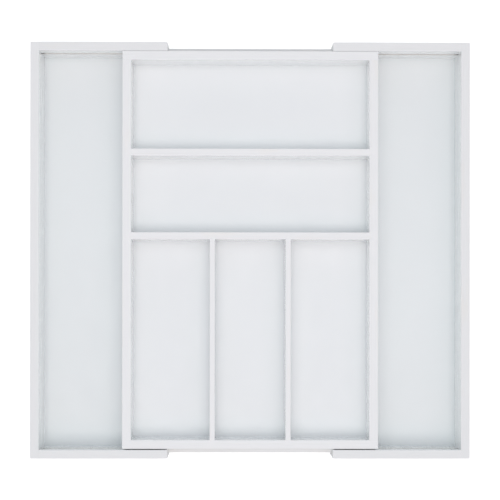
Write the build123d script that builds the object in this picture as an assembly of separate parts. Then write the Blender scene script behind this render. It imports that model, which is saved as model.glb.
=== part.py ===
import os

from build123d import *

# An extending cutlery tray in painted wood, pulled open. A centre tray with five compartments
# runs between two side trays. Each side tray is an end rail, a back rail, a front rail and a
# thin floor, open towards the middle, so that its floor slides under the centre tray.
# +X is to the right, +Y to the back, +Z up. The origin is on the surface that the tray stands
# on, under the middle of the open tray. All lengths are in millimetres.

# Whole tray
open_width = 475
tray_depth = 450
tray_height = 56

# Boards
rail_thickness = 9.5
cross_divider_thickness = 7.5
long_divider_thickness = 5.5
floor_thickness = 3
edge_radius = 0.5

# Side trays
side_rail_length = 148
side_floor_lift = 2.5

# Sliding tongue and groove between the centre tray and the side trays
strip_height = 5.8
strip_projection = 5.5
strip_housing_depth = 3
strip_below_rim = 19.3
guide_clearance = 0.3
guide_depth_clearance = 0.5

# Gaps that let the trays slide
closed_gap = 1
end_clearance = 0.75
back_gap = 0.2
front_gap = 1.1
under_clearance = 1

# Centre tray
centre_floor_lift = 7
back_row_depth = 96
second_row_depth = 82.8
middle_compartment_width = 76.5
divider_housing_depth = 2.5

# Floor panels in their grooves
floor_groove_depth = 4
floor_edge_clearance = 0.3

# Corner dowels
dowel_diameter = 4
dowel_in_end_grain = 12.5
dowel_in_side_grain = 5.5
dowel_clearance = 0.05
dowel_end_clearance = 0.3

# Tools pass this far beyond what they cut
overrun = 5

# Places in the side trays, measured from the middle of the open tray
end_outer = open_width / 2
end_inner = end_outer - rail_thickness
rail_end = end_outer - side_rail_length
depth_outer = tray_depth / 2
depth_inner = depth_outer - rail_thickness
side_floor_low = side_floor_lift
side_floor_top = side_floor_low + floor_thickness

# Places in the centre tray
closed_width = 2 * side_rail_length + closed_gap
centre_width = closed_width - 2 * (rail_thickness + end_clearance)
centre_outer = centre_width / 2
centre_inner = centre_outer - rail_thickness
centre_back_outer = depth_inner - back_gap
centre_back_inner = centre_back_outer - rail_thickness
centre_front_outer = -(depth_inner - front_gap)
centre_front_inner = centre_front_outer + rail_thickness
centre_bottom = side_floor_top + under_clearance
centre_floor_low = centre_bottom + centre_floor_lift
centre_floor_top = centre_floor_low + floor_thickness

# Places of the dividers
back_divider_back = centre_back_inner - back_row_depth
back_divider_front = back_divider_back - cross_divider_thickness
front_divider_back = back_divider_front - second_row_depth
front_divider_front = front_divider_back - cross_divider_thickness
long_divider_near = middle_compartment_width / 2
long_divider_far = long_divider_near + long_divider_thickness

# Heights of the tongue and of the groove that it runs in
strip_top = tray_height - strip_below_rim
strip_low = strip_top - strip_height
guide_top = strip_top + guide_clearance
guide_low = strip_low - guide_clearance
guide_depth = strip_projection - back_gap + guide_depth_clearance


def block(x_from, x_to, y_from, y_to, z_from, z_to):
    """A square-edged block between two opposite corners."""
    place = Pos((x_from + x_to) / 2, (y_from + y_to) / 2, (z_from + z_to) / 2)
    return place * Box(abs(x_to - x_from), abs(y_to - y_from), abs(z_to - z_from))


def rod(start, axis, length, diameter):
    """A round rod or drill hole that runs from start along the axis."""
    plane = Plane(origin=start, z_dir=axis)
    return plane * Cylinder(diameter / 2, length, align=(Align.CENTER, Align.CENTER, Align.MIN))


def save(piece, name):
    """Each piece is one file, and like fasteners are one group of solids."""
    export_step(piece, os.path.join("parts", name + ".step"))


def dowel(joint_point, into_end_grain):
    """A plain round dowel across a joint, shorter in the rail that it meets side on."""
    start = Vector(*joint_point) - into_end_grain * dowel_in_side_grain
    length = dowel_in_side_grain + dowel_in_end_grain
    return rod(start, into_end_grain, length, dowel_diameter)


def dowel_hole(joint_point, into_end_grain):
    """The hole for one dowel, a little longer and wider than the dowel."""
    start = Vector(*joint_point) - into_end_grain * (dowel_in_side_grain + dowel_end_clearance)
    length = dowel_in_side_grain + dowel_in_end_grain + 2 * dowel_end_clearance
    return rod(start, into_end_grain, length, dowel_diameter + 2 * dowel_clearance)


# Side trays: side is -1 on the left and 1 on the right
def side_frame(side):
    """The three rails of a side tray in one blank, with the edges sanded after gluing up."""
    outside = block(side * end_outer, side * rail_end, -depth_outer, depth_outer, 0, tray_height)
    inside = block(
        side * end_inner, side * (rail_end - overrun), -depth_inner, depth_inner,
        -overrun, tray_height + overrun,
    )
    blank = outside - inside
    rim = blank.edges().group_by(Axis.Z)[-1]
    corners = [
        edge for edge in blank.edges().filter_by(Axis.Z)
        if abs(abs(edge.center().X) - end_inner) > edge_radius
    ]
    return fillet(list(rim) + corners, edge_radius)


def side_dowel_points(side):
    """Two dowels at each corner, above and below the sliding groove."""
    heights = [(side_floor_top + guide_low) / 2, (guide_top + tray_height) / 2]
    middle = (depth_inner + depth_outer) / 2
    return [(side * end_inner, y, z) for y in (-middle, middle) for z in heights]


def side_floor(side, clearance):
    """The floor panel, or with no clearance the room that its grooves make for it."""
    into_groove = floor_groove_depth - clearance
    return block(
        side * (end_inner + into_groove), side * rail_end,
        -(depth_inner + into_groove), depth_inner + into_groove,
        side_floor_low, side_floor_top,
    )


def long_rail(side, frame, facing):
    """A back or front rail, with the sliding groove and the floor groove along its inner face.

    facing is 1 for the back rail and -1 for the front rail.
    """
    reach = block(
        side * end_inner, side * rail_end, facing * depth_inner, facing * depth_outer,
        0, tray_height,
    )
    sliding_groove = block(
        side * (end_inner + overrun), side * (rail_end - overrun),
        facing * (depth_inner - overrun), facing * (depth_inner + guide_depth),
        guide_low, guide_top,
    )
    floor_groove = block(
        side * (end_inner + overrun), side * (rail_end - overrun),
        facing * (depth_inner - overrun), facing * (depth_inner + floor_groove_depth),
        side_floor_low, side_floor_top,
    )
    return (frame & reach) - sliding_groove - floor_groove


def side_tray(side, name):
    frame = side_frame(side)
    towards_middle = Vector(-side, 0, 0)
    end_rail = frame & block(
        side * end_outer, side * end_inner, -depth_outer, depth_outer, 0, tray_height
    )
    end_rail = end_rail - side_floor(side, 0)
    back_rail = long_rail(side, frame, 1)
    front_rail = long_rail(side, frame, -1)
    dowels = []
    for point in side_dowel_points(side):
        hole = dowel_hole(point, towards_middle)
        end_rail = end_rail - hole
        back_rail = back_rail - hole
        front_rail = front_rail - hole
        dowels.append(dowel(point, towards_middle))
    save(end_rail, name + "_end_rail")
    save(back_rail, name + "_back_rail")
    save(front_rail, name + "_front_rail")
    save(side_floor(side, floor_edge_clearance), name + "_floor")
    save(Compound(children=dowels), name + "_corner_dowels")


# Centre tray
def compartments():
    """The five compartments, cut through the whole height."""
    low = centre_bottom - overrun
    high = tray_height + overrun
    back = block(-centre_inner, centre_inner, back_divider_back, centre_back_inner, low, high)
    second = block(-centre_inner, centre_inner, front_divider_back, back_divider_front, low, high)
    spans = [
        (-centre_inner, -long_divider_far),
        (-long_divider_near, long_divider_near),
        (long_divider_far, centre_inner),
    ]
    front = [
        block(left, right, centre_front_inner, front_divider_front, low, high)
        for left, right in spans
    ]
    return [back, second] + front


def centre_frame():
    """All rails and dividers of the centre tray in one blank, sanded after gluing up."""
    blank = block(
        -centre_outer, centre_outer, centre_front_outer, centre_back_outer,
        centre_bottom, tray_height,
    )
    for compartment in compartments():
        blank = blank - compartment
    rim = blank.edges().group_by(Axis.Z)[-1]
    corners = [
        edge for edge in blank.edges().filter_by(Axis.Z)
        if abs(edge.center().X) > centre_outer - edge_radius
    ]
    return fillet(list(rim) + corners, edge_radius)


def cross_divider_room(back, front):
    """A cross divider stands on the floor, with its ends housed in the left and right rails."""
    end = centre_inner + divider_housing_depth
    return block(-end, end, front, back, centre_floor_top, tray_height)


def long_divider_room(side):
    """A long divider is housed in the front rail and in the front cross divider."""
    return block(
        side * long_divider_near, side * long_divider_far,
        centre_front_inner - divider_housing_depth, front_divider_front + divider_housing_depth,
        centre_floor_top, tray_height,
    )


def centre_floor(clearance):
    """The floor panel, or with no clearance the room that its grooves make for it."""
    into_groove = floor_groove_depth - clearance
    return block(
        -(centre_inner + into_groove), centre_inner + into_groove,
        centre_front_inner - into_groove, centre_back_inner + into_groove,
        centre_floor_low, centre_floor_top,
    )


def tongue_strip(outer_face, facing):
    """The strip that slides in the side trays' grooves, glued into a housing along the rail."""
    strip = block(
        -centre_outer, centre_outer,
        outer_face - facing * strip_housing_depth, outer_face + facing * strip_projection,
        strip_low, strip_top,
    )
    along = strip.edges().filter_by(Axis.X).sort_by(Axis.Y)
    proud = along[-2:] if facing > 0 else along[:2]
    return fillet(proud, edge_radius)


def strip_housing(outer_face, facing):
    return block(
        -(centre_outer + overrun), centre_outer + overrun,
        outer_face - facing * strip_housing_depth, outer_face + facing * overrun,
        strip_low, strip_top,
    )


def centre_dowel_points(inner_face):
    """Two dowels at each corner, above and below the tongue strip's housing."""
    heights = [(centre_floor_top + strip_low) / 2, (strip_top + tray_height) / 2]
    middle = (centre_inner + centre_outer) / 2
    return [(x, inner_face, z) for x in (-middle, middle) for z in heights]


def centre_tray():
    frame = centre_frame()
    back_rail = frame & block(
        -centre_outer, centre_outer, centre_back_inner, centre_back_outer,
        centre_bottom, tray_height,
    )
    front_rail = frame & block(
        -centre_outer, centre_outer, centre_front_outer, centre_front_inner,
        centre_bottom, tray_height,
    )
    left_rail = frame & block(
        -centre_outer, -centre_inner, centre_front_inner, centre_back_inner,
        centre_bottom, tray_height,
    )
    right_rail = frame & block(
        centre_inner, centre_outer, centre_front_inner, centre_back_inner,
        centre_bottom, tray_height,
    )

    # Dividers and the housings that hold their ends
    back_room = cross_divider_room(back_divider_back, back_divider_front)
    front_room = cross_divider_room(front_divider_back, front_divider_front)
    left_room = long_divider_room(-1)
    right_room = long_divider_room(1)
    left_rail = left_rail - back_room - front_room
    right_rail = right_rail - back_room - front_room
    front_rail = front_rail - left_room - right_room
    save(frame & back_room, "cross_divider_back")
    save((frame & front_room) - left_room - right_room, "cross_divider_front")
    save(frame & left_room, "long_divider_left")
    save(frame & right_room, "long_divider_right")

    # Floor panel and its grooves
    floor_room = centre_floor(0)
    save(centre_floor(floor_edge_clearance), "centre_floor")

    # Tongue strips
    back_rail = back_rail - floor_room - strip_housing(centre_back_outer, 1)
    front_rail = front_rail - floor_room - strip_housing(centre_front_outer, -1)
    save(tongue_strip(centre_back_outer, 1), "tongue_strip_back")
    save(tongue_strip(centre_front_outer, -1), "tongue_strip_front")
    left_rail = left_rail - floor_room
    right_rail = right_rail - floor_room

    # Corner dowels run from the back and front rails into the ends of the left and right rails
    dowels = []
    for inner_face, into_end_grain in (
        (centre_back_inner, Vector(0, -1, 0)),
        (centre_front_inner, Vector(0, 1, 0)),
    ):
        for point in centre_dowel_points(inner_face):
            hole = dowel_hole(point, into_end_grain)
            back_rail = back_rail - hole
            front_rail = front_rail - hole
            left_rail = left_rail - hole
            right_rail = right_rail - hole
            dowels.append(dowel(point, into_end_grain))
    save(back_rail, "centre_back_rail")
    save(front_rail, "centre_front_rail")
    save(left_rail, "centre_left_rail")
    save(right_rail, "centre_right_rail")
    save(Compound(children=dowels), "centre_corner_dowels")


os.makedirs("parts", exist_ok=True)
side_tray(-1, "left")
side_tray(1, "right")
centre_tray()
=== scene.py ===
import math

import bmesh
import bpy
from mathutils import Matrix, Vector


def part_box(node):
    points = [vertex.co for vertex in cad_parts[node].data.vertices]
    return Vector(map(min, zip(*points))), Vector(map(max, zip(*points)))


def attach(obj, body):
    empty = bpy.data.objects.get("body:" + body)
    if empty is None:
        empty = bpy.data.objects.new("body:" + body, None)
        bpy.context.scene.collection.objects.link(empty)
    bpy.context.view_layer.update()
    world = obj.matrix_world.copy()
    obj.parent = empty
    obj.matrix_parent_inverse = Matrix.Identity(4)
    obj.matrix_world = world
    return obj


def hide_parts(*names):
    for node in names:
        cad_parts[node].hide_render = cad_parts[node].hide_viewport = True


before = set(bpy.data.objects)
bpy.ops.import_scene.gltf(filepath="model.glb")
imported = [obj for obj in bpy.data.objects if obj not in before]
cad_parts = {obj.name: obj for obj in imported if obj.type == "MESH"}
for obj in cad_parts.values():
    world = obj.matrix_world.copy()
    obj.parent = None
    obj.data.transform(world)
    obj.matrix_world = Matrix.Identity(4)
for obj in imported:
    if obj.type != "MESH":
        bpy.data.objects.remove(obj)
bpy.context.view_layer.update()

# Camera
# A long lens looks straight down on the open tray. It stands a little in front of the tray's
# middle, which shows more of the back walls, and its shift centres the tray in the picture.
photo_pixels = 500
focal_pixels = 1579
sensor_width = 36.0
camera_place = (-0.0181, -0.0695, 1.7605)
camera_turn = (math.radians(0.17), math.radians(-0.60), math.radians(0.058))
camera_shift = 0.12
camera_reach = 50

camera_data = bpy.data.cameras.new("camera")
camera_data.sensor_width = sensor_width
camera_data.lens = focal_pixels / photo_pixels * sensor_width
camera_data.shift_y = camera_shift
camera_data.clip_end = camera_reach
camera = bpy.data.objects.new("camera", camera_data)
camera.location = camera_place
camera.rotation_euler = camera_turn
bpy.context.scene.collection.objects.link(camera)
bpy.context.scene.camera = camera
bpy.context.scene.view_settings.view_transform = "Standard"

# Studio light
# A pale room that is brighter towards the horizon, a soft box over the tray, a soft light from the
# front, and weak warm ones from the front and from each side. White paint shows a little darker
# than it is, so that the rims and floors stand out from the white around the tray.
room_level = 0.446
room_colour = (0.82, 0.911, 1.0)
horizon_level = 0.933
horizon_colour = (1.0, 0.998, 0.873)
horizon_falloff = 3
box_height = 1.4
box_width = 0.9


def soft_box(name, level, colour):
    """A square light above the middle of the tray that doesn't show in the picture."""
    box = bpy.data.lights.new(name, "AREA")
    box.size = box_width
    box.energy = level * (math.pi * box_height) ** 2
    box.color = colour
    lamp = bpy.data.objects.new(name, box)
    lamp.location = (0, 0, box_height)
    lamp.visible_camera = False
    bpy.context.scene.collection.objects.link(lamp)


def soft_sun(name, level, colour, softness, tilt_x, tilt_y):
    """A distant light of some softness, tilted from straight above about X and Y."""
    sun = bpy.data.lights.new(name, "SUN")
    sun.energy = level * math.pi
    sun.angle = math.radians(softness)
    sun.color = colour
    lamp = bpy.data.objects.new(name, sun)
    lamp.rotation_euler = (math.radians(tilt_x), math.radians(tilt_y), 0)
    bpy.context.scene.collection.objects.link(lamp)


def linked_math(tree, operation, place, value, other):
    """A step of arithmetic between a given number, at this place, and another node's output."""
    step = tree.nodes.new("ShaderNodeMath")
    step.operation = operation
    step.inputs[place].default_value = value
    tree.links.new(other, step.inputs[1 - place])
    return step.outputs[0]


def seen_by_camera(tree, level):
    """The level where the camera looks straight at the surface, and zero for other rays."""
    path = tree.nodes.new("ShaderNodeLightPath")
    return linked_math(tree, "MULTIPLY", place=1, value=level, other=path.outputs["Is Camera Ray"])


soft_box("soft_box", level=0.187, colour=(0.986, 1.0, 0.957))
soft_sun("front_light", level=0.131, colour=(0.99, 1.0, 0.958), softness=18, tilt_x=12, tilt_y=0)
soft_sun("front_fill", level=0.038, colour=(1.0, 0.317, 0.205), softness=30, tilt_x=25, tilt_y=0)
soft_sun("left_light", level=0.022, colour=(1.0, 0.734, 0.829), softness=30, tilt_x=0, tilt_y=-25)
soft_sun("right_light", level=0.051, colour=(1.0, 0.715, 0.703), softness=30, tilt_x=0, tilt_y=25)

world = bpy.data.worlds.new("studio")
bpy.context.scene.world = world
world.use_nodes = True
tree = world.node_tree
tree.nodes.clear()
directions = tree.nodes.new("ShaderNodeTexCoord")
split = tree.nodes.new("ShaderNodeSeparateXYZ")
tree.links.new(directions.outputs["Generated"], split.inputs[0])
lowness = linked_math(tree, "SUBTRACT", place=0, value=1, other=split.outputs["Z"])
falloff = linked_math(tree, "POWER", place=1, value=horizon_falloff, other=lowness)
horizon_strength = linked_math(tree, "MULTIPLY", place=1, value=horizon_level, other=falloff)
room = tree.nodes.new("ShaderNodeBackground")
room.inputs["Color"].default_value = (*room_colour, 1)
room.inputs["Strength"].default_value = room_level
horizon = tree.nodes.new("ShaderNodeBackground")
horizon.inputs["Color"].default_value = (*horizon_colour, 1)
tree.links.new(horizon_strength, horizon.inputs["Strength"])
both = tree.nodes.new("ShaderNodeAddShader")
white = tree.nodes.new("ShaderNodeBackground")
white.inputs["Color"].default_value = (1, 1, 1, 1)
either = tree.nodes.new("ShaderNodeMixShader")
surround = tree.nodes.new("ShaderNodeOutputWorld")
tree.links.new(room.outputs[0], both.inputs[0])
tree.links.new(horizon.outputs[0], both.inputs[1])
tree.links.new(seen_by_camera(tree, level=1), either.inputs["Fac"])
tree.links.new(both.outputs[0], either.inputs[1])
tree.links.new(white.outputs[0], either.inputs[2])
tree.links.new(either.outputs[0], surround.inputs["Surface"])

# Studio floor
# A plain pale floor. Seen by the camera it is white, apart from the faint shadow of the tray.
floor_width = 12
floor_grey = 0.9
floor_glow = 0.54

bpy.ops.object.select_all(action="DESELECT")
bpy.ops.mesh.primitive_plane_add(size=floor_width)
studio_floor = bpy.context.object
studio_floor.name = "studio_floor"
floor_finish = bpy.data.materials.new("studio_floor")
floor_finish.use_nodes = True
tree = floor_finish.node_tree
tree.nodes.clear()
matte = tree.nodes.new("ShaderNodeBsdfDiffuse")
matte.inputs["Color"].default_value = (floor_grey, floor_grey, floor_grey, 1)
glow = tree.nodes.new("ShaderNodeEmission")
both = tree.nodes.new("ShaderNodeAddShader")
surface = tree.nodes.new("ShaderNodeOutputMaterial")
tree.links.new(seen_by_camera(tree, floor_glow), glow.inputs["Strength"])
tree.links.new(matte.outputs[0], both.inputs[0])
tree.links.new(glow.outputs[0], both.inputs[1])
tree.links.new(both.outputs[0], surface.inputs["Surface"])
studio_floor.data.materials.append(floor_finish)

# Centre tray, rails
# Four rails of planed softwood, butted and dowelled at the corners. The frame was glued up with
# its dividers, rounded over along every rim with a router, sanded, sprayed white and lacquered.
edge_radius = 0.0005
edge_facets = 4
seam_width = 0.00012
panel_clearance = 0.0003
overrun = 0.005
tiny = 1e-6
sliver = 5e-6
grid_places = 7
sharp_angle = math.radians(60)
smooth_angle = math.radians(35)
flat_angle = math.radians(0.5)
slant_low, slant_high = 0.01, 0.999
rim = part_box("centre_left_rail")[1].z
frame_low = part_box("centre_left_rail")[0].z
outer_x, inner_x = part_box("centre_right_rail")[1].x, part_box("centre_right_rail")[0].x
back_outer, back_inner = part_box("centre_back_rail")[1].y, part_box("centre_back_rail")[0].y
front_outer, front_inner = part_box("centre_front_rail")[0].y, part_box("centre_front_rail")[1].y
centre_white = (0.976, 0.981, 0.988)
# The rims are painted a darker white than the faces: painted shade on the tops, which take the most light,
# though the paint is the same all over.
centre_rim_shade_white = (0.937, 0.938, 0.956)
groove_end_fade = 0.006
lacquer_roughness = 0.2
grain_scale = 700
groove_end_bare_and_shade = (0.3, 0.28, 0.27)
thin_tint = (0.96, 0.91, 0.83)
primer_tint = (0.93, 0.9, 0.86)
ring_centre = (0, -0.16, 0.05)
ring_scale = 240
finish_places = range(4)
painted, sanded, bare, sawn_end = finish_places


def node_of(tree, kind, **settings):
    """A new shader node with its settings."""
    made = tree.nodes.new(kind)
    for setting, value in settings.items():
        setattr(made, setting, value)
    return made


def noise(tree, scale, detail, stretch=(1, 1, 1)):
    """Noise on the object's own coordinates, drawn out by the stretch."""
    places = node_of(tree, "ShaderNodeTexCoord")
    mapping = node_of(tree, "ShaderNodeMapping")
    mapping.inputs["Scale"].default_value = [1 / length for length in stretch]
    pattern = node_of(tree, "ShaderNodeTexNoise")
    pattern.inputs["Scale"].default_value = scale
    pattern.inputs["Detail"].default_value = detail
    tree.links.new(places.outputs["Object"], mapping.inputs["Vector"])
    tree.links.new(mapping.outputs[0], pattern.inputs["Vector"])
    return pattern.outputs["Fac"]


def spread(tree, pattern, dips, peaks, start=0.3, end=0.7):
    """Spreads the pattern's usual range between a value for its dips and one for its peaks."""
    spreading = node_of(tree, "ShaderNodeMapRange")
    spreading.inputs["From Min"].default_value = start
    spreading.inputs["From Max"].default_value = end
    spreading.inputs["To Min"].default_value = dips
    spreading.inputs["To Max"].default_value = peaks
    tree.links.new(pattern, spreading.inputs["Value"])
    return spreading.outputs[0]


def blended(tree, one, other, share):
    """Two colours, mixed by a pattern."""
    mix = node_of(tree, "ShaderNodeMix", data_type="RGBA")
    amount, first, second, mixed = mix.inputs[0], mix.inputs[6], mix.inputs[7], mix.outputs[2]
    for socket, colour in ((first, one), (second, other)):
        if isinstance(colour, tuple):
            socket.default_value = (*colour, 1)
        else:
            tree.links.new(colour, socket)
    tree.links.new(share, amount)
    return mixed


def relief(tree, height, depth, under=None):
    """Bumps of this depth, laid over other bumps if there are any."""
    bumps = node_of(tree, "ShaderNodeBump")
    bumps.inputs["Strength"].default_value = 1
    bumps.inputs["Distance"].default_value = depth
    tree.links.new(height, bumps.inputs["Height"])
    if under:
        tree.links.new(under, bumps.inputs["Normal"])
    return bumps.outputs[0]


def darker(colour, share):
    """The same colour, darker by this share."""
    return tuple(part * (1 - share) for part in colour)


def tinted(colour, tint):
    """The same colour under a thin tint."""
    return tuple(part * share for part, share in zip(colour, tint))


def along(axis, length):
    """The stretch that draws a pattern out along one axis."""
    return tuple(length if name == axis else 1 for name in "xyz")


def finish_with(name):
    """A new material, its nodes and its shader."""
    finish = bpy.data.materials.new(name)
    finish.use_nodes = True
    return finish, finish.node_tree, finish.node_tree.nodes["Principled BSDF"]


def sprayed_white(name, colour, axis):
    """Sprayed paint under a satin lacquer, over planed wood whose grain still shows a little."""
    finish, tree, paint = finish_with(name)
    clouds = noise(tree, scale=11, detail=3)
    grain = noise(tree, scale=grain_scale, detail=5, stretch=along(axis, 22))
    spray = noise(tree, scale=1600, detail=2)
    tone = blended(tree, darker(colour, share=0.022), colour, spread(tree, clouds, dips=0, peaks=1))
    grained = blended(tree, darker(colour, share=0.1), tone, spread(tree, grain, dips=0.45, peaks=1))
    tree.links.new(grained, paint.inputs["Base Color"])
    paint.inputs["Specular IOR Level"].default_value = 0.4
    paint.inputs["Coat Weight"].default_value = 1
    paint.inputs["Coat Roughness"].default_value = lacquer_roughness
    tree.links.new(spread(tree, grain, dips=0.28, peaks=0.24), paint.inputs["Roughness"])
    ripple = relief(tree, grain, depth=0.00016)
    tree.links.new(relief(tree, spray, depth=0.000012, under=ripple), paint.inputs["Normal"])
    return finish


def sanded_white(name, colour, axis):
    """The same paint on a rim, sanded thin and matt, and here and there rubbed by hands. Its colour is
    darker than the faces': painted shade on the tops, which take the most light.
    """
    finish, tree, paint = finish_with(name)
    grain = noise(tree, scale=grain_scale, detail=4, stretch=along(axis, 14))
    rubs = noise(tree, scale=60, detail=6, stretch=along(axis, 5))
    thin = tinted(colour, thin_tint)
    tone = blended(tree, darker(colour, share=0.024), colour, spread(tree, grain, dips=0, peaks=1))
    worn = blended(tree, tone, thin, spread(tree, rubs, dips=0, peaks=0.25, start=0.6, end=0.72))
    tree.links.new(worn, paint.inputs["Base Color"])
    paint.inputs["Specular IOR Level"].default_value = 0.3
    tree.links.new(spread(tree, rubs, dips=0.6, peaks=0.45), paint.inputs["Roughness"])
    tree.links.new(relief(tree, grain, depth=0.00013), paint.inputs["Normal"])
    return finish


def primed_groove(name, colour, axis, closed_end=None):
    """Thin primer in a routed groove, with the cutter's marks, darker towards a closed end: bare wood there
    and painted shade.
    """
    finish, tree, paint = finish_with(name)
    marks = noise(tree, scale=900, detail=3, stretch=along(axis, 60))
    dust = noise(tree, scale=90, detail=4, stretch=along(axis, 3))
    primer = tinted(colour, primer_tint)
    tone = blended(tree, darker(primer, share=0.1), primer, spread(tree, marks, dips=0, peaks=1))
    settled = spread(tree, dust, dips=0, peaks=0.6, start=0.5, end=0.75)
    groove_colour = blended(tree, tone, darker(primer, share=0.14), settled)
    # Towards a closed end the groove turns dark grey: bare wood that the primer didn't reach, and painted
    # shade in the end's recess.
    if closed_end:
        places = node_of(tree, "ShaderNodeTexCoord")
        across = node_of(tree, "ShaderNodeSeparateXYZ")
        tree.links.new(places.outputs["Object"], across.inputs[0])
        reach = node_of(tree, "ShaderNodeMath", operation="ABSOLUTE")
        tree.links.new(across.outputs["X"], reach.inputs[0])
        fade_start = closed_end - groove_end_fade
        bare_and_shaded = spread(tree, reach.outputs[0], dips=0, peaks=1, start=fade_start, end=closed_end)
        groove_colour = blended(tree, groove_colour, groove_end_bare_and_shade, bare_and_shaded)
    tree.links.new(groove_colour, paint.inputs["Base Color"])
    paint.inputs["Specular IOR Level"].default_value = 0.35
    tree.links.new(spread(tree, marks, dips=0.6, peaks=0.75), paint.inputs["Roughness"])
    tree.links.new(relief(tree, marks, depth=0.00006), paint.inputs["Normal"])
    return finish


def soaked_end_grain(name, colour):
    """Paint that soaked into a sawn end, so that rings and pores show as fine relief."""
    finish, tree, paint = finish_with(name)
    places = node_of(tree, "ShaderNodeTexCoord")
    centre = node_of(tree, "ShaderNodeMapping")
    centre.inputs["Location"].default_value = ring_centre
    rings = node_of(tree, "ShaderNodeTexWave", wave_type="RINGS", rings_direction="X")
    rings.inputs["Scale"].default_value = ring_scale
    rings.inputs["Distortion"].default_value = 2
    rings.inputs["Detail Scale"].default_value = 3
    tree.links.new(places.outputs["Object"], centre.inputs["Vector"])
    tree.links.new(centre.outputs[0], rings.inputs["Vector"])
    pores = noise(tree, scale=3000, detail=2)
    tone = blended(tree, darker(colour, share=0.07), darker(colour, share=0.015), rings.outputs["Fac"])
    pored = blended(tree, darker(colour, share=0.12), tone, spread(tree, pores, dips=0.3, peaks=1))
    tree.links.new(pored, paint.inputs["Base Color"])
    tree.links.new(spread(tree, pores, dips=0.65, peaks=0.5), paint.inputs["Roughness"])
    ringed = relief(tree, rings.outputs["Fac"], depth=0.00003)
    tree.links.new(relief(tree, pores, depth=0.00003, under=ringed), paint.inputs["Normal"])
    return finish


def board_finishes(name, colour, rim_shade_colour, axis, closed_end=None):
    """A board's four finishes: faces, sanded rims and edges, grooves and sawn ends."""
    return [
        sprayed_white(name, colour, axis),
        sanded_white(name + "_rims", rim_shade_colour, axis),
        primed_groove(name + "_grooves", colour, axis, closed_end),
        soaked_end_grain(name + "_ends", colour),
    ]


def true_up(piece):
    """Puts every corner on a grid of a ten-millionth of a metre, so that faces meet exactly."""
    for corner in piece.data.vertices:
        corner.co = [round(place, grid_places) for place in corner.co]


def block(name, low, high, finish=painted):
    """A square-edged block between two opposite corners, all in one finish."""
    low, high = Vector(low), Vector(high)
    bpy.ops.object.select_all(action="DESELECT")
    bpy.ops.mesh.primitive_cube_add(size=1, location=(low + high) / 2)
    piece = bpy.context.object
    piece.name = piece.data.name = name
    piece.scale = high - low
    bpy.ops.object.transform_apply(location=True, rotation=True, scale=True)
    for place in finish_places:
        piece.data.materials.append(None)
    piece.data.polygons.foreach_set("material_index", [finish] * len(piece.data.polygons))
    true_up(piece)
    return piece


def edit(piece, kind):
    """Opens the piece for editing with nothing selected."""
    bpy.ops.object.select_all(action="DESELECT")
    piece.select_set(True)
    bpy.context.view_layer.objects.active = piece
    bpy.ops.object.mode_set(mode="EDIT")
    bpy.ops.mesh.select_mode(type=kind)
    bpy.ops.mesh.select_all(action="DESELECT")
    return bmesh.from_edit_mesh(piece.data)


def round_edges(piece, radius, facets, finish, chosen):
    """Rounds the sharp edges that chosen picks by their two ends."""
    shape = edit(piece, "EDGE")
    for edge in shape.edges:
        sharp = edge.calc_face_angle(0) > sharp_angle
        if sharp and chosen(edge.verts[0].co, edge.verts[1].co):
            edge.select_set(True)
    bmesh.update_edit_mesh(piece.data)
    bpy.ops.mesh.bevel(
        offset=radius, segments=facets, profile=0.5, affect="EDGES", material=finish, clamp_overlap=False
    )
    bpy.ops.object.mode_set(mode="OBJECT")
    true_up(piece)


def refinish(piece, finish, chosen):
    """Gives another finish to the faces that chosen picks by their middle."""
    for face in piece.data.polygons:
        if chosen(face.center):
            face.material_index = finish


def carve(piece, cutter, operation="DIFFERENCE"):
    """Cuts the cutter's shape out of the piece, or keeps only what lies inside it."""
    true_up(cutter)
    bpy.context.view_layer.objects.active = piece
    cut = piece.modifiers.new("cut", "BOOLEAN")
    cut.operation = operation
    cut.solver = "MANIFOLD"
    cut.object = cutter
    bpy.ops.object.modifier_apply(modifier=cut.name)
    bpy.data.objects.remove(cutter)
    true_up(piece)


def groove(board, low, high):
    """Cuts a groove or a housing, which stays bare."""
    carve(board, block("cutter", low, high, bare))


def hollow(blank, left, right, front, back):
    """Cuts a compartment through the blank, with a round-over along its rim."""
    cutter = block(
        "cutter", (left - edge_radius, front - edge_radius, rim),
        (right + edge_radius, back + edge_radius, rim + overrun),
    )
    shape = edit(cutter, "FACE")
    for face in shape.faces:
        face.select_set(face.normal.z < -slant_high)
    bmesh.update_edit_mesh(cutter.data)
    turns = [math.pi / 2 * facet / edge_facets for facet in range(edge_facets + 1)]
    for turn, next_turn in zip(turns, turns[1:]):
        bpy.ops.mesh.inset(
            thickness=edge_radius * (math.sin(next_turn) - math.sin(turn)),
            depth=edge_radius * (math.cos(turn) - math.cos(next_turn)),
        )
    downwards = (0, 0, frame_low - overrun - (rim - edge_radius))
    bpy.ops.mesh.extrude_region_move(TRANSFORM_OT_translate={"value": downwards})
    for face in bmesh.from_edit_mesh(cutter.data).faces:
        if slant_low < abs(face.normal.z) < slant_high:
            face.material_index = sanded
    bpy.ops.object.mode_set(mode="OBJECT")
    carve(blank, cutter)


def sawn(blank, name, low, high):
    """One board, sawn from a copy of the blank and cleaned of slivers along the cut."""
    board = blank.copy()
    board.data = blank.data.copy()
    board.name = board.data.name = name
    bpy.context.scene.collection.objects.link(board)
    carve(board, block("saw", low, high), "INTERSECT")
    edit(board, "VERT")
    bpy.ops.mesh.select_all(action="SELECT")
    bpy.ops.mesh.remove_doubles(threshold=sliver)
    bpy.ops.object.mode_set(mode="OBJECT")
    return board


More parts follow.
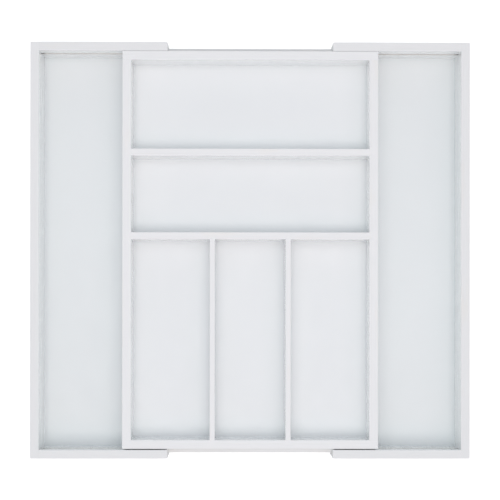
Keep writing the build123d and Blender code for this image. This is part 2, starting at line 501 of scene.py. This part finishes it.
def fitted(piece, finishes, body, node):
    """Cleans and shades the mesh, paints it and fixes it to its tray in the node's place."""
    edit(piece, "VERT")
    bpy.ops.mesh.select_all(action="SELECT")
    bpy.ops.mesh.remove_doubles(threshold=tiny)
    bpy.ops.mesh.dissolve_limited(angle_limit=flat_angle, delimit={"MATERIAL"})
    bpy.ops.mesh.normals_make_consistent(inside=False)
    bpy.ops.object.mode_set(mode="OBJECT")
    bpy.ops.object.shade_smooth_by_angle(angle=smooth_angle)
    shading = piece.modifiers.new("shading", "WEIGHTED_NORMAL")
    shading.keep_sharp = True
    bpy.ops.object.modifier_apply(modifier=shading.name)
    for place, finish in enumerate(finishes):
        piece.data.materials[place] = finish
    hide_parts(node)
    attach(piece, body)


cross_back, cross_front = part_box("cross_divider_back"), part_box("cross_divider_front")
long_near, long_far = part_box("long_divider_right")[0].x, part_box("long_divider_right")[1].x
compartments = [
    (-inner_x, inner_x, cross_back[1].y, back_inner),
    (-inner_x, inner_x, cross_front[1].y, cross_back[0].y),
    (-inner_x, -long_far, front_inner, cross_front[0].y),
    (-long_near, long_near, front_inner, cross_front[0].y),
    (long_far, inner_x, front_inner, cross_front[0].y),
]
centre_blank = block("centre_blank", (-outer_x, front_outer, frame_low), (outer_x, back_outer, rim))
round_edges(
    centre_blank, edge_radius, edge_facets, sanded,
    lambda start, end: min(start.z, end.z) > rim - tiny or abs(start.z - end.z) > edge_radius,
)
refinish(centre_blank, sanded, lambda middle: middle.z > rim - tiny)
for compartment in compartments:
    hollow(centre_blank, *compartment)

past = outer_x + overrun
below, above = frame_low - overrun, rim + overrun
saw_cuts = {
    "centre_back_rail": ((-past, back_inner, below), (past, back_outer + overrun, above)),
    "centre_front_rail": ((-past, front_outer - overrun, below), (past, front_inner, above)),
    "centre_left_rail": ((-past, front_inner, below), (-inner_x, back_inner, above)),
    "centre_right_rail": ((inner_x, front_inner, below), (past, back_inner, above)),
}
centre_rails = {node: sawn(centre_blank, node + "_board", *cut) for node, cut in saw_cuts.items()}


def seam(board, axis, place):
    """A hairline round the glued end of a board, where the paint has sunk into the joint."""
    shape = edit(board, "FACE")
    for face in shape.faces:
        at_place = abs(face.calc_center_median()[axis] - place) < tiny
        if at_place and abs(face.normal[axis]) > slant_high:
            face.select_set(True)
            inwards = -seam_width * face.normal
    bmesh.update_edit_mesh(board.data)
    bpy.ops.transform.translate(value=inwards)
    bpy.ops.mesh.inset(thickness=seam_width, depth=seam_width)
    for face in bmesh.from_edit_mesh(board.data).faces:
        near_place = abs(face.calc_center_median()[axis] - place) < seam_width
        if near_place and slant_low < abs(face.normal[axis]) < slant_high:
            face.material_index = sawn_end
    bpy.ops.object.mode_set(mode="OBJECT")


for node in ("centre_left_rail", "centre_right_rail"):
    seam(centre_rails[node], 1, front_inner)
    seam(centre_rails[node], 1, back_inner)
margin = Vector((panel_clearance, panel_clearance, 0))
low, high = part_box("centre_floor")
for rail in centre_rails.values():
    groove(rail, low - margin, high + margin)
endwise = Vector((overrun, 0, 0))
for strip, rail in (("tongue_strip_back", "centre_back_rail"), ("tongue_strip_front", "centre_front_rail")):
    low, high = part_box(strip)
    groove(centre_rails[rail], low - endwise, high + endwise)
for divider in ("cross_divider_back", "cross_divider_front"):
    groove(centre_rails["centre_left_rail"], *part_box(divider))
    groove(centre_rails["centre_right_rail"], *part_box(divider))
for divider in ("long_divider_left", "long_divider_right"):
    groove(centre_rails["centre_front_rail"], *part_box(divider))

centre_across = board_finishes("centre_rail_across", centre_white, centre_rim_shade_white, "x")
centre_deep = board_finishes("centre_rail_deep", centre_white, centre_rim_shade_white, "y")
for node, rail in centre_rails.items():
    finishes = centre_across if node in ("centre_back_rail", "centre_front_rail") else centre_deep
    fitted(rail, finishes, "centre_tray", node)

# Centre tray, dividers
# Two cross dividers and two thinner long ones, of the same softwood. They stand on the floor with
# their ends housed in the rails, and in the front cross divider, and were rounded over in one
# pass with the rails.
divider_white = (0.976, 0.981, 0.988)
# The rims get a darker white here too: painted shade on the tops.
divider_rim_shade_white = (0.944, 0.942, 0.96)

dividers = {}
for node in ("cross_divider_back", "cross_divider_front", "long_divider_left", "long_divider_right"):
    low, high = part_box(node)
    dividers[node] = sawn(centre_blank, node + "_board", low, high + Vector((0, 0, overrun)))
for node in ("long_divider_left", "long_divider_right"):
    groove(dividers["cross_divider_front"], *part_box(node))
cross_finishes = board_finishes("cross_divider", divider_white, divider_rim_shade_white, "x")
long_finishes = board_finishes("long_divider", divider_white, divider_rim_shade_white, "y")
for node, divider in dividers.items():
    finishes = cross_finishes if node.startswith("cross") else long_finishes
    fitted(divider, finishes, "centre_tray", node)
bpy.data.objects.remove(centre_blank)

# Centre tray, floor
# A thin smooth board that slides into grooves round all four rails before the last one is glued
# on. The paint pooled in a fine bead along the foot of every wall that stands on it.
bead_radius = 0.0005
bead_facets = 3
under_wall = 0.00002
centre_floor_white = (0.93, 0.953, 0.97)


def rolled_white(name, colour):
    """Rolled paint on smooth board, with the roller's fine stipple and slight clouds of tone."""
    finish, tree, paint = finish_with(name)
    clouds = noise(tree, scale=7, detail=4)
    stipple = noise(tree, scale=1100, detail=3)
    swell = noise(tree, scale=60, detail=2)
    tone = blended(tree, darker(colour, share=0.022), colour, spread(tree, clouds, dips=0, peaks=1))
    stippled = blended(tree, darker(colour, share=0.02), tone, spread(tree, stipple, dips=0.5, peaks=1))
    tree.links.new(stippled, paint.inputs["Base Color"])
    tree.links.new(spread(tree, swell, dips=0.42, peaks=0.54), paint.inputs["Roughness"])
    swollen = relief(tree, swell, depth=0.0001)
    tree.links.new(relief(tree, stipple, depth=0.00005, under=swollen), paint.inputs["Normal"])
    return finish


def all_over(finish):
    """The same finish on every face of a piece."""
    return [finish] * len(finish_places)


def bead_steps(wall, inwards):
    """Where the bead's facets start beside a wall, from just under the wall to the floor."""
    turns = [math.pi / 2 * facet / bead_facets for facet in range(bead_facets + 1)]
    rounds = [wall + inwards * bead_radius * (1 - math.cos(turn)) for turn in turns]
    return [wall - inwards * under_wall] + rounds


def bead_height(x, y, rooms):
    """How high the paint stands at a place on the floor, in a quarter round up every wall."""
    height = 0
    for left, right, front, back in rooms:
        gap = min(x - left, right - x, y - front, back - y)
        if -tiny < gap < bead_radius:
            height = bead_radius - math.sqrt(bead_radius ** 2 - (bead_radius - max(gap, 0)) ** 2)
    return height


def floor_panel(name, low, high, rooms):
    """A floor board, scored along the edges of every bead and then raised to the bead's shape."""
    panel = block(name, low, high)
    scores = set()
    for left, right, front, back in rooms:
        for axis, wall, inwards in ((0, left, 1), (0, right, -1), (1, front, 1), (1, back, -1)):
            scores.update((axis, place) for place in bead_steps(wall, inwards))
    edit(panel, "VERT")
    for axis, place in sorted(scores):
        if low[axis] < place < high[axis]:
            point, normal = [0, 0, 0], [0, 0, 0]
            point[axis], normal[axis] = place, 1
            bpy.ops.mesh.select_all(action="SELECT")
            bpy.ops.mesh.bisect(plane_co=point, plane_no=normal, threshold=tiny)
    for corner in bmesh.from_edit_mesh(panel.data).verts:
        if corner.co.z > high.z - tiny:
            corner.co.z += bead_height(corner.co.x, corner.co.y, rooms)
    bmesh.update_edit_mesh(panel.data)
    bpy.ops.object.mode_set(mode="OBJECT")
    return panel


centre_panel = floor_panel("centre_floor_panel", *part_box("centre_floor"), compartments)
centre_floor_finish = rolled_white("centre_floor", centre_floor_white)
fitted(centre_panel, all_over(centre_floor_finish), "centre_tray", "centre_floor")

# Tongue strips
# A hardwood strip glued into a housing along the outside of the back and the front rail. It runs
# in the side trays' grooves, so its outer edges are rounded and its paint is rubbed thin in places.
# The back strip is painted darker than the front one: painted shade, for the shadow the back rail casts on
# it.
strip_back_shaded_white = (0.785, 0.78, 0.795)
strip_front_white = (0.875, 0.88, 0.89)
strip_wood = (0.78, 0.68, 0.54)


def rubbed_white(name, colour, wood):
    """Paint rubbed by sliding: fine scratches along the strip, and wood that shows through."""
    finish, tree, paint = finish_with(name)
    scratches = noise(tree, scale=1500, detail=4, stretch=along("x", 90))
    patches = noise(tree, scale=45, detail=5, stretch=along("x", 4))
    tone = blended(tree, darker(colour, share=0.05), colour, spread(tree, scratches, dips=0, peaks=1))
    rubbed = blended(tree, tone, wood, spread(tree, patches, dips=0, peaks=0.1, start=0.52, end=0.7))
    tree.links.new(rubbed, paint.inputs["Base Color"])
    tree.links.new(spread(tree, scratches, dips=0.5, peaks=0.33), paint.inputs["Roughness"])
    tree.links.new(relief(tree, scratches, depth=0.00003), paint.inputs["Normal"])
    return finish


for node, rail_face, strip_white_and_shade in (
    ("tongue_strip_back", back_outer, strip_back_shaded_white),
    ("tongue_strip_front", front_outer, strip_front_white),
):
    strip = block(node + "_wood", *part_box(node))
    strip_finish = rubbed_white(node, strip_white_and_shade, strip_wood)
    round_edges(
        strip, edge_radius, edge_facets, sanded,
        lambda start, end: abs(start.x - end.x) > edge_radius
        and min(abs(start.y), abs(end.y)) > abs(rail_face) + tiny,
    )
    fitted(strip, all_over(strip_finish), "centre_tray", node)

# Side trays, rails
# An end rail and two shorter rails of the same painted softwood, butted and dowelled, with the open
# side towards the middle. A groove along the inner face of the short rails takes the tongue, and a
# thinner one in all three takes the floor.
groove_clearance = 0.0003
groove_depth_clearance = 0.0005
arris_radius = 0.0003
arris_facets = 2
side_white = (0.976, 0.981, 0.988)
# The rims get a darker white here too, a little darker than the centre's: painted shade on the tops.
side_rim_shade_white = (0.9, 0.901, 0.915)
end_inner, end_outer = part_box("right_end_rail")[0].x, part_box("right_end_rail")[1].x
rail_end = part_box("right_back_rail")[0].x
side_low, side_back = 0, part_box("right_back_rail")[1].y
back_face, front_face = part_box("right_back_rail")[0].y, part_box("right_front_rail")[1].y

side_blank = block("side_blank", (rail_end, -side_back, side_low), (end_outer, side_back, rim))
carve(side_blank, block(
    "cutter", (rail_end - overrun, front_face, side_low - overrun), (end_inner, back_face, rim + overrun)
))
edit(side_blank, "FACE")
bpy.ops.mesh.select_all(action="SELECT")
bpy.ops.mesh.dissolve_limited(angle_limit=flat_angle)
bpy.ops.object.mode_set(mode="OBJECT")
round_edges(
    side_blank, edge_radius, edge_facets, sanded,
    lambda start, end: min(start.z, end.z) > rim - tiny or (
        abs(start.z - end.z) > edge_radius and abs(start.x - end_inner) > tiny
    ),
)
round_edges(
    side_blank, arris_radius, arris_facets, sanded,
    lambda start, end: max(start.z, end.z) < side_low + tiny,
)
refinish(side_blank, sanded, lambda middle: middle.z > rim - tiny)
refinish(side_blank, sawn_end, lambda middle: abs(middle.x - rail_end) < tiny)

past = side_back + overrun
below, above = side_low - overrun, rim + overrun
saw_cuts = {
    "end_rail": ((end_inner, -past, below), (end_outer + overrun, past, above)),
    "back_rail": ((rail_end - overrun, back_face, below), (end_inner, past, above)),
    "front_rail": ((rail_end - overrun, -past, below), (end_inner, front_face, above)),
}
side_rails = {part: sawn(side_blank, "right_" + part + "_board", *cut) for part, cut in saw_cuts.items()}
bpy.data.objects.remove(side_blank)

tongue_low, tongue_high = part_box("tongue_strip_back")
groove_reach = tongue_high.y + groove_depth_clearance
groove_low, groove_top = tongue_low.z - groove_clearance, tongue_high.z + groove_clearance
floor_low, floor_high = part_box("right_floor")
for facing, part in ((1, "back_rail"), (-1, "front_rail")):
    seam(side_rails[part], 0, end_inner)
    mouth, bottom = facing * (back_face - overrun), facing * groove_reach
    groove(
        side_rails[part], (rail_end - overrun, min(mouth, bottom), groove_low),
        (end_inner + overrun, max(mouth, bottom), groove_top),
    )
for rail in side_rails.values():
    groove(rail, floor_low - margin - endwise, floor_high + margin)


def mirrored(piece, name):
    """A copy of a right-hand piece for the left-hand tray."""
    other = piece.copy()
    other.data = piece.data.copy()
    other.name = other.data.name = name
    bpy.context.scene.collection.objects.link(other)
    bpy.ops.object.select_all(action="DESELECT")
    other.select_set(True)
    bpy.context.view_layer.objects.active = other
    other.scale = (-1, 1, 1)
    bpy.ops.object.transform_apply(location=True, rotation=True, scale=True)
    return other


side_across = board_finishes("side_rail_across", side_white, side_rim_shade_white, "x", end_inner)
side_deep = board_finishes("end_rail", side_white, side_rim_shade_white, "y")
for part, right_rail in side_rails.items():
    left_rail = mirrored(right_rail, "left_" + part + "_board")
    finishes = side_deep if part == "end_rail" else side_across
    fitted(right_rail, finishes, "right_tray", "right_" + part)
    fitted(left_rail, finishes, "left_tray", "left_" + part)

# Side trays, floors
# The same smooth board as in the centre, held in the grooves of the three rails. Its free edge
# slides under the centre tray. The paint pooled along the foot of the three walls here too.
side_floor_white = (0.899, 0.935, 0.949)

side_room = (floor_low.x - bead_radius, end_inner, front_face, back_face)
right_panel = floor_panel("right_floor_panel", floor_low, floor_high, [side_room])
left_panel = mirrored(right_panel, "left_floor_panel")
side_floor_finish = rolled_white("side_floor", side_floor_white)
fitted(right_panel, all_over(side_floor_finish), "right_tray", "right_floor")
fitted(left_panel, all_over(side_floor_finish), "left_tray", "left_floor")

# Corner dowels
# Plain beech dowels, glued in and hidden: two in each corner, one above the groove or the tongue
# strip and one below it.
beech = (0.66, 0.47, 0.3)


def bare_beech(name, colour):
    """Bare beech, with fine darker flecks along the dowel."""
    finish, tree, wood = finish_with(name)
    flecks = noise(tree, scale=900, detail=4, stretch=(3, 3, 1))
    tone = blended(tree, darker(colour, share=0.25), colour, spread(tree, flecks, dips=0, peaks=1))
    tree.links.new(tone, wood.inputs["Base Color"])
    tree.links.new(spread(tree, flecks, dips=0.7, peaks=0.6), wood.inputs["Roughness"])
    tree.links.new(relief(tree, flecks, depth=0.00004), wood.inputs["Normal"])
    return finish


dowel_finish = bare_beech("beech", beech)
for node in ("centre_corner_dowels", "left_corner_dowels", "right_corner_dowels"):
    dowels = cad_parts[node]
    dowels.data.materials.clear()
    dowels.data.materials.append(dowel_finish)
